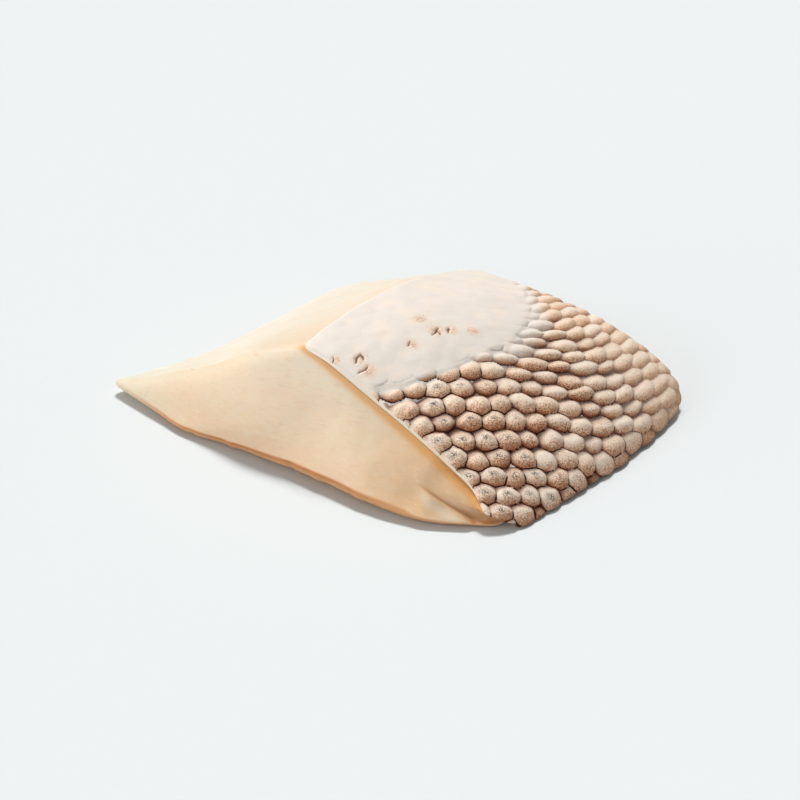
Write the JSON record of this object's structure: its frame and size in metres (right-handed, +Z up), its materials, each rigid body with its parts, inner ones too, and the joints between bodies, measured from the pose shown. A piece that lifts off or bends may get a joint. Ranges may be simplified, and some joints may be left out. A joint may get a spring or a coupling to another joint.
{
  "type": "toothfish fillet portion",
  "caption": "Raw skin-on portion of toothfish fillet: a block of pale flesh, thin and pointed at the belly side, under a domed skin of puffy rounded scales.",
  "frame": {"origin": "on the table under the middle of the portion's bounding box", "axes": "+X from the pointed tip of the flesh towards the far corner of the skin, +Y away from the front cut, +Z up"},
  "size_m": [0.1612, 0.1372, 0.034],
  "materials": {
    "flesh": "moist raw flesh, pale cream to peach, smooth with a soft sheen",
    "skin": "raw fish skin with puffy cream scales, brown at their free edges, damp satin"
  },
  "bodies": {
    "root": {"flesh": "flesh", "skin": "skin"}
  },
  "joints": []
}
